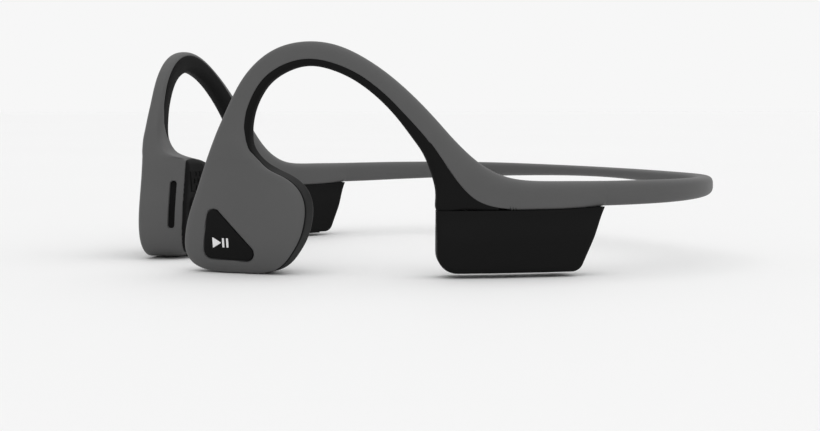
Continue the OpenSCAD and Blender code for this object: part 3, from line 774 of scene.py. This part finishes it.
def round_corner(c, r, start, end, steps=14):
    a = np.radians(np.linspace(start, end, steps))
    return np.column_stack([c[0] + r * np.cos(a), c[1] + r * np.sin(a)])


def pod_top(s):
    """Height of the top of a pod, which follows the underside of the arm."""
    return np.interp(s, *POD_TOP_LINE)


def pod_outline(inset, count=340):
    """Closed outline (s, z) of a pod: slanted rear edge and rounded lower corners."""
    front, low = POD_FRONT - inset, POD_BOTTOM + inset
    rear, rear_low = POD_BACK_TOP + inset, POD_BACK_BOTTOM + inset
    big, small = POD_CORNER - inset, POD_REAR_CORNER - inset * 0.8
    top = np.linspace(rear, front, 30)
    parts = [np.column_stack([top, pod_top(top) - 0.02 * inset]),
             round_corner([front - big, low + big], big, 0, -90),
             round_corner([rear_low + small, low + small], small, -90, -160)]
    loop = np.vstack(parts + [parts[0][:1]])
    return resample(loop, count + 1)[:-1]


def pod_taper(z):
    """Share of the pod's half thickness at a height: flush with the arm at the top."""
    return POD_TOP_SHARE + (1 - POD_TOP_SHARE) * smoothstep((POD_TOP - z) / POD_TAPER)


def pod_half(name, side, sign, pockets):
    """Half of a pod, hollow, from the parting plane to its rounded outer face."""
    levels = pod_levels(POD_HALF_T, POD_EDGE_R)
    hollow = pod_levels(POD_HALF_T - POD_WALL, POD_EDGE_R_INSIDE)
    rings = [pod_ring(n, inset + POD_WALL, sign) for n, inset in reversed(hollow)]
    rings = [shrink(rings[0], k) for k in INNER_RINGS] + rings
    outer = [pod_ring(n, inset, sign, pockets) for n, inset in levels]
    outer += [shrink(outer[-1], k) for k in OUTER_RINGS]
    points = np.array(rings + outer)
    points[..., 1] *= pod_taper(points[..., 2])
    caps = [(0, "fan"), (len(points) - 1, "fan")]
    return grid_mesh(name, place(points, side), caps=caps, flip=(sign * side) > 0)


def pod_levels(half_t, r):
    """(n, inset) pairs from the parting groove, up the wall and round the edge."""
    groove = [(GAP / 2, 0.12), (0.1, 0.03), (0.2, 0.0)]
    wall = [(n, 0.0) for n in np.linspace(0.45, half_t - r, 14)]
    turn = [(half_t - r + r * math.sin(a), r - r * math.cos(a))
            for a in np.radians(np.linspace(8, 84, 10))]
    return groove + wall + turn


def pod_ring(n, inset, sign, pockets=()):
    """Ring of (s, n, z) points of a pod at a distance from the parting plane."""
    outline = pod_outline(inset)
    ring = np.column_stack([outline[:, 0], np.full(len(outline), sign * n), outline[:, 1]])
    for pocket in pockets:
        ring = pocket(ring)
    return ring


def shrink(ring, share):
    """Scaled copy of a ring, a little further out for a slightly crowned face."""
    middle = ring.mean(0)
    out = middle + (ring - middle) * share
    out[:, 1] = ring[:, 1] + (1 - share) * FACE_CROWN * np.sign(ring[:, 1])
    return out


KEY_LEN = 6.0
KEY_FIRST = 24.6
KEY_STEP = 6.6
KEY_HALF_T = 1.5
KEY_ROOM = 0.3
KEY_POCKET_DEPTH = 1.25
COVER_PIVOT_S = 46.2
COVER_LEN = 10.4
COVER_HALF_T = 2.0
COVER_ROOM = 0.15
COVER_POCKET_DEPTH = 0.95


def box_pocket(s_low, s_high, half_t, depth):
    """Pocket in the underside of a pod, with straight sides and a flat roof."""
    mid, half_s = (s_low + s_high) / 2, (s_high - s_low) / 2

    def cut(ring):
        past_end = np.abs(ring[:, 0] - mid) - half_s
        past_side = np.abs(ring[:, 1]) - half_t
        inside = -np.maximum(past_end, past_side)
        under = ring[:, 2] < POD_BOTTOM + 1.0
        ring[:, 2] += np.where(under, depth * smoothstep(inside / 0.12), 0)
        return ring
    return cut


def right_pockets():
    """Pockets of the two volume keys and of the port cover."""
    reach = KEY_LEN / 2 + KEY_ROOM
    cuts = []
    for middle in (KEY_FIRST, KEY_FIRST + KEY_STEP):
        cuts.append(box_pocket(middle - reach, middle + reach, KEY_HALF_T + KEY_ROOM,
                               KEY_POCKET_DEPTH))
    cuts.append(box_pocket(COVER_PIVOT_S - COVER_LEN - COVER_ROOM, COVER_PIVOT_S + 0.6,
                           COVER_HALF_T + COVER_ROOM, COVER_POCKET_DEPTH))
    return cuts


def build_pods():
    """Outer and inner half of both pods."""
    for side, word in SIDE_NAMES.items():
        pockets = right_pockets() if side == RIGHT else []
        for sign, face in ((1, "outer"), (-1, "inner")):
            half = pod_half(f"{word}_pod_{face}", side, sign, pockets)
            finish_piece(half, BLACK_SHELL, "black_shell", word + "_arm",
                         [f"{word}_pod_{face}_shell"])


# ---- Small pieces -------------------------------------------------------------------------------
def pillow(name, outline, levels, to_world, centre, flip=False):
    """Closed piece of stacked, inset copies of an outline. A level is (height, inset)."""
    v = outline - centre
    length = np.linalg.norm(v, axis=1)
    rings = []
    for height, inset in levels:
        flat = centre + v * ((length - inset) / length)[:, None]
        rings.append(to_world(flat, height))
    last = len(rings) - 1
    return grid_mesh(name, np.array(rings), caps=[(0, "fan"), (last, "fan")], flip=flip)


def rounded_outline(corners, r, steps=10):
    """Outline of a convex polygon grown by r, with round corners, counter-clockwise."""
    corners = np.asarray(corners, float)
    area = sum(a[0] * b[1] - a[1] * b[0] for a, b in zip(corners, np.roll(corners, -1, axis=0)))
    if area < 0:
        corners = corners[::-1]
    following = np.roll(corners, -1, axis=0)
    out = []
    for before, here, after in zip(np.roll(corners, 1, axis=0), corners, following):
        e1, e2 = here - before, after - here
        a1 = math.atan2(-e1[0], e1[1])
        a2 = math.atan2(-e2[0], e2[1])
        turn = (a2 - a1) % (2 * math.pi)
        a = a1 + np.linspace(0, turn, steps)
        out.append(here + r * np.column_stack([np.cos(a), np.sin(a)]))
    loop = np.vstack(out)
    return resample(np.vstack([loop, loop[:1]]), 161)[:-1]


def edge_levels(low, high, r, crown=0.0):
    """Levels of a plate with a rounded upper edge and a slightly crowned face."""
    levels = [(low, 0.0), (high - r, 0.0)]
    levels += [(high - r + r * math.sin(a), r - r * math.cos(a))
               for a in np.radians(np.linspace(12, 90, 8))]
    levels += [(high + crown * k, r + 1.6 * k) for k in (0.3, 0.6, 0.85)]
    return levels


BUTTON_UNDER = -0.45
BUTTON_EDGE_R = 0.3
BUTTON_CROWN = 0.05


def build_multifunction_button():
    """Three-cornered press key in the outer face of the left driver."""
    outline = rounded_outline(BUTTON_CORNERS, BUTTON_R)
    levels = edge_levels(BUTTON_UNDER, 0.0, BUTTON_EDGE_R, BUTTON_CROWN)
    button = pillow("multifunction_button_cap", outline, levels, on_button,
                    BUTTON_CORNERS.mean(0), True)
    finish_piece(button, BLACK_SKIN, "black_skin", "multifunction_key", ["multifunction_button"])


# Outline (s, z) of a contact pad
PAD = np.array([(101.2, 3.6), (102.0, 8.5), (101.4, 13.4), (98.5, 14.4), (90.0, 14.6), (82.5, 14.4),
                (80.0, 13.0), (80.2, 9.0), (82.4, 4.6), (86.5, 2.3), (92.0, 1.8), (98.0, 2.0)])
PAD_RISE = 0.85
PAD_UNDER = -0.15
# Rounded edge of a pad: share of its rise, inset
PAD_EDGE = ((0.3, 0.0), (0.62, 0.1), (0.88, 0.3), (1.0, 0.65))
PAD_UNDER_RINGS = (7.0, 5.5, 4.0, 2.5, 1.2, 0.0)
PAD_FACE_RINGS = (1.2, 2.0, 3.0, 4.2)
GRILLE_Z = (15.4, 20.6)
GRILLE_S = (86.0, 100.8)
GRILLE_RISE = 0.22
GRILLE_BACK = -1.2
GRILLE_EDGE_R = 0.3
VENT_PITCH = 2.0
VENT_ROW = 0.8 * VENT_PITCH
VENT_R = 0.5
VENT_DEPTH = 0.7
VENT_SLOPE = 0.16


def driver_edges(z):
    """Outer edge, inner edge and depth of the driver's cup at a height."""
    table = np.array(STATIONS)[CUP_STATIONS][::-1]
    outer = np.interp(z, table[:, EDGE_Z], table[:, EDGE_S])
    inner = np.interp(z, table[:, INNER_Z], table[:, INNER_S])
    depth = np.interp(z, table[:, INNER_Z], table[:, THICK_IN])
    return outer, inner, depth


def cup_face(s, z, rise):
    """n of the cup's face at (s, z), raised towards the head by rise."""
    outer, inner, depth = driver_edges(z)
    share = np.clip((outer - s) / (outer - inner), 0, 1)
    return -depth * np.interp(share, DOME[1:-1, 0], -DOME[1:-1, 1]) - rise


def build_contact_pads():
    """Raised silicone pad on the face that rests on the cheekbone."""
    outline = closed_spline(PAD, 160)
    centre = outline.mean(0)
    levels = [(PAD_UNDER, inset) for inset in PAD_UNDER_RINGS]
    levels += [(PAD_RISE * share, inset) for share, inset in PAD_EDGE]
    levels += [(PAD_RISE, inset) for inset in PAD_FACE_RINGS]
    for side, word in SIDE_NAMES.items():
        def to_world(flat, height):
            n = cup_face(flat[:, 0], flat[:, 1], height)
            return place(np.column_stack([flat[:, 0], n, flat[:, 1]]), side)
        pad = pillow(word + "_cheek_pad", outline, levels, to_world, centre, side == LEFT)
        finish_piece(pad, BLACK_SKIN, "black_skin", word + "_arm", [word + "_contact_pad"])


def vent_dip(s, z):
    """Depth of the round holes, set in offset rows."""
    first_s, first_z = GRILLE_S[0], GRILLE_Z[0] + VENT_PITCH / 2
    row = np.round((z - first_z) / VENT_ROW)
    z0 = first_z + row * VENT_ROW
    shift = np.where(row % 2 == 0, 0, 0.5) * VENT_PITCH
    s0 = first_s + shift + VENT_PITCH * np.round((s - first_s - shift) / VENT_PITCH)
    inside = (s0 > GRILLE_S[0] + 0.8) & (s0 < GRILLE_S[1] - 0.8) & (z0 < GRILLE_Z[1] - 0.6)
    open_share = smoothstep((VENT_R - np.hypot(s - s0, z - z0)) / VENT_SLOPE + 0.5)
    return np.where(inside, VENT_DEPTH * open_share, 0)


def build_grilles():
    """Plate with vent holes above each contact pad."""
    s = np.linspace(*GRILLE_S, 124)
    for side, word in SIDE_NAMES.items():
        rows = []
        for z in np.linspace(*GRILLE_Z, 48):
            from_ends = np.full_like(s, min(z - GRILLE_Z[0], GRILLE_Z[1] - z))
            edge = np.minimum.reduce([s - GRILLE_S[0], GRILLE_S[1] - s, from_ends])
            rounding = GRILLE_EDGE_R * (1 - smoothstep(edge / GRILLE_EDGE_R))
            n = cup_face(s, z, GRILLE_RISE) + vent_dip(s, z) + rounding
            face = np.column_stack([s, n, np.full_like(s, z)])
            back = np.column_stack([s, cup_face(s, z, GRILLE_BACK), np.full_like(s, z)])
            rows.append(np.vstack([face, back[::-1]]))
        plate = grid_mesh(word + "_vent_plate", place(np.array(rows), side),
                          caps=[(0, "strip"), (len(rows) - 1, "strip")], flip=side == RIGHT)
        finish_piece(plate, BLACK_PART, "black_part", word + "_arm", [word + "_vent_grille"])


def build_slot_shade_inlays():
    """Dark piece at the bottom of the slot in the front edge of each driver: painted shade that
    keeps the slot floor uniformly dark.
    """
    low, high = SLOT_Z
    line = [(-0.02, low), (0.02, low), (0.02, high), (-0.02, high)]
    outline = rounded_outline(line, SLOT_R - 0.06)
    centre = outline.mean(0)
    levels = [(1.6, 0.0), (0.5, 0.0), (0.45, 0.1)]
    for side, word in SIDE_NAMES.items():
        def to_world(flat, height):
            s = driver_edges(flat[:, 1])[0] - height
            return place(np.column_stack([s, flat[:, 0] + SLOT_N, flat[:, 1]]), side)
        shade_inlay = pillow(word + "_slot_shade_inlay", outline, levels, to_world, centre, side == RIGHT)
        # the dark plastic piece is painted shade for the recess of the slot
        finish_piece(shade_inlay, BLACK_PART, "black_part", word + "_arm")


# Play and pause symbol in the button's flat plane
MARK_UNDER = -0.2
MARK_RISE = BUTTON_CROWN + 0.035
MARK_R = 0.1
MARK_TRIANGLE = ((-2.1, -1.2), (-0.3, -0.2), (-2.1, 0.8))
MARK_BARS = (0.4, 1.4)


def build_button_mark():
    """White play and pause symbol on the multifunction button."""
    shapes = [MARK_TRIANGLE]
    for x in MARK_BARS:
        shapes.append(((x - 0.12, -1.1), (x + 0.12, -1.1), (x + 0.12, 0.7), (x - 0.12, 0.7)))
    levels = [(MARK_UNDER, 0.0), (MARK_RISE, 0.0)]
    for i, corners in enumerate(shapes):
        outline = rounded_outline(corners, MARK_R)
        mark = pillow(f"button_mark_{i + 1}", outline, levels, on_button, outline.mean(0), True)
        finish_piece(mark, MARK, "clear", "multifunction_key")


def under_pod(flat, height):
    """Places (s, n) points at a height under the right pod."""
    return place(np.column_stack([flat[:, 0], flat[:, 1], np.full(len(flat), height)]), RIGHT)


def block(s_low, s_high, half_t, r, n=0.0):
    """Rounded rectangle outline in (s, n)."""
    s_near, s_far = s_low + r, s_high - r
    n_near, n_far = n - half_t + r, n + half_t - r
    return rounded_outline([(s_near, n_near), (s_far, n_near), (s_far, n_far), (s_near, n_far)], r)


# Half length and half width of the bars of a minus sign, and of those of a plus sign
SIGNS = (
    ((0.75, 0.14),),
    ((0.75, 0.14), (0.14, 0.75)),
)


def build_keys():
    """Volume keys under the right pod, with raised signs."""
    for i, word in enumerate(("volume_down", "volume_up")):
        middle = KEY_FIRST + i * KEY_STEP
        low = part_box(word + "_button")[0].z / MM
        outline = block(middle - KEY_LEN / 2, middle + KEY_LEN / 2, KEY_HALF_T, 0.7)
        centre = np.array([middle, 0.0])
        levels = [(POD_BOTTOM + 0.8, 0.0), (low + 0.22, 0.0), (low + 0.1, 0.07),
                  (low + 0.03, 0.2), (low + 0.02, 0.5)]
        key = pillow(word + "_keycap", outline, levels, under_pod, centre, True)
        finish_piece(key, BLACK_SKIN, "black_skin", word + "_key", [word + "_button"])
        levels = [(low + 0.3, 0.0), (low - 0.06, 0.0), (low - 0.09, 0.04)]
        for k, (half_s, half_n) in enumerate(SIGNS[i]):
            outline = block(middle - half_s, middle + half_s, half_n, 0.1)
            bar = pillow(f"{word}_sign_{k + 1}", outline, levels, under_pod, centre, True)
            finish_piece(bar, BLACK_PART, "black_part", word + "_key")


COVER_T = 0.9
PORT_S = 41.2
PORT_N = -0.55
PORT_HALF_S = 3.8
PORT_HALF_N = 1.1
PORT_RIM = 0.28


def build_port():
    """Hinged cover of the charging port and the socket mouth behind it."""
    outline = block(COVER_PIVOT_S - COVER_LEN, COVER_PIVOT_S + 0.4, COVER_HALF_T, 0.8)
    centre = np.array([COVER_PIVOT_S - COVER_LEN / 2 + 0.2, 0.0])
    levels = [(POD_BOTTOM + COVER_T - 0.05, 0.3), (POD_BOTTOM + COVER_T - 0.2, 0.0),
              (POD_BOTTOM + 0.25, 0.0), (POD_BOTTOM + 0.08, 0.1), (POD_BOTTOM + 0.01, 0.3),
              (POD_BOTTOM, 0.8)]
    cover = pillow("port_cover_flap", outline, levels, under_pod, centre, True)
    finish_piece(cover, BLACK_SKIN, "black_skin", "port_cover", ["charge_port_cover"])
    rim = block(PORT_S - PORT_HALF_S, PORT_S + PORT_HALF_S, PORT_HALF_N, 1.05, PORT_N)
    levels = [(POD_BOTTOM + 2.4, 0.0), (POD_BOTTOM + 0.98, 0.0), (POD_BOTTOM + 0.98, PORT_RIM),
              (POD_BOTTOM + 2.3, PORT_RIM)]
    socket = pillow("charging_socket_mouth", rim, levels, under_pod,
                    np.array([PORT_S, PORT_N]), True)
    finish_piece(socket, SLOT_MATERIALS["steel"], "steel", "right_arm")


paint_cad_nodes()
build_hooks()
build_neckband()
build_pods()
build_multifunction_button()
build_button_mark()
build_contact_pads()
build_grilles()
build_slot_shade_inlays()
build_keys()
build_port()


# ---- Stage ------------------------------------------------------------------------------------
WORLD_LIGHT = 0.62
WORLD_SEEN = 0.93
# Name, direction it shines from, spread in degrees, strength
SUNS = (
    ("top_sun", (0.1, 0.1, 1.0), 100, 1.2),
    ("front_sun", (0.9, -0.5, 0.7), 70, 0.35),
    ("rear_sun", (-0.5, 0.9, 0.5), 70, 0.15),
)
FLOOR_GREY = 0.86
FLOOR_HALF = 12.0
FLOOR_Z = -0.0002
# Camera: place round the object in degrees, distance in metres, and the point it looks at,
# which is given by its distance in front of the band and its height in millimetres
CAMERA_AZIMUTH = math.radians(60.8)
CAMERA_ELEVATION = math.radians(3.99)
CAMERA_DISTANCE = 0.3795
CAMERA_LENS = 67.83
CAMERA_TO_REAR = 59.0
CAMERA_Z = 8.9


def build_stage():
    """Light grey floor, just below the lowest point of the headphones."""
    h = FLOOR_HALF
    mesh = bpy.data.meshes.new("floor")
    mesh.from_pydata([(-h, -h, 0), (h, -h, 0), (h, h, 0), (-h, h, 0)], [], [(0, 1, 2, 3)])
    floor = bpy.data.objects.new("floor", mesh)
    bpy.context.scene.collection.objects.link(floor)
    m = Nodes("floor")
    m.link(m.tint(m.noise(3.0), grey(FLOOR_GREY - 0.01), grey(FLOOR_GREY + 0.01)), "Base Color")
    m.shader.inputs["Roughness"].default_value = 0.75
    floor.data.materials.append(m.material)
    floor.location.z = FLOOR_Z


def build_light():
    """White surroundings seen by the camera, dimmer light from them, and three soft suns."""
    world = bpy.data.worlds.new("studio")
    bpy.context.scene.world = world
    world.use_nodes = True
    tree = world.node_tree
    back = tree.nodes["Background"]
    back.inputs["Color"].default_value = (1, 1, 1, 1)
    seen = tree.nodes.new("ShaderNodeLightPath").outputs["Is Camera Ray"]
    level = tree.nodes.new("ShaderNodeMapRange")
    tree.links.new(seen, level.inputs["Value"])
    level.inputs["To Min"].default_value = WORLD_LIGHT
    level.inputs["To Max"].default_value = WORLD_SEEN
    tree.links.new(level.outputs["Result"], back.inputs["Strength"])
    for name, towards, spread, power in SUNS:
        data = bpy.data.lights.new(name, "SUN")
        data.angle = math.radians(spread)
        data.energy = power
        lamp = bpy.data.objects.new(name, data)
        bpy.context.scene.collection.objects.link(lamp)
        lamp.rotation_euler = (-Vector(towards)).to_track_quat("-Z", "Y").to_euler()


def build_camera():
    """Camera at three-quarter view from the wearer's left front, near the height of the hooks."""
    flat = math.cos(CAMERA_ELEVATION)
    back = Vector((math.sin(CAMERA_AZIMUTH) * flat, -math.cos(CAMERA_AZIMUTH) * flat,
                   math.sin(CAMERA_ELEVATION)))
    data = bpy.data.cameras.new("camera")
    data.lens = CAMERA_LENS
    data.sensor_width = 36.0
    data.clip_start = 0.01
    data.clip_end = 20
    camera = bpy.data.objects.new("camera", data)
    bpy.context.scene.collection.objects.link(camera)
    target = Vector((0, REAR_Y - CAMERA_TO_REAR, CAMERA_Z)) * MM
    camera.location = target + back * CAMERA_DISTANCE
    camera.rotation_euler = (-back).to_track_quat("-Z", "Y").to_euler()
    bpy.context.scene.camera = camera


build_stage()
build_light()
build_camera()
bpy.context.scene.view_settings.view_transform = "Standard"
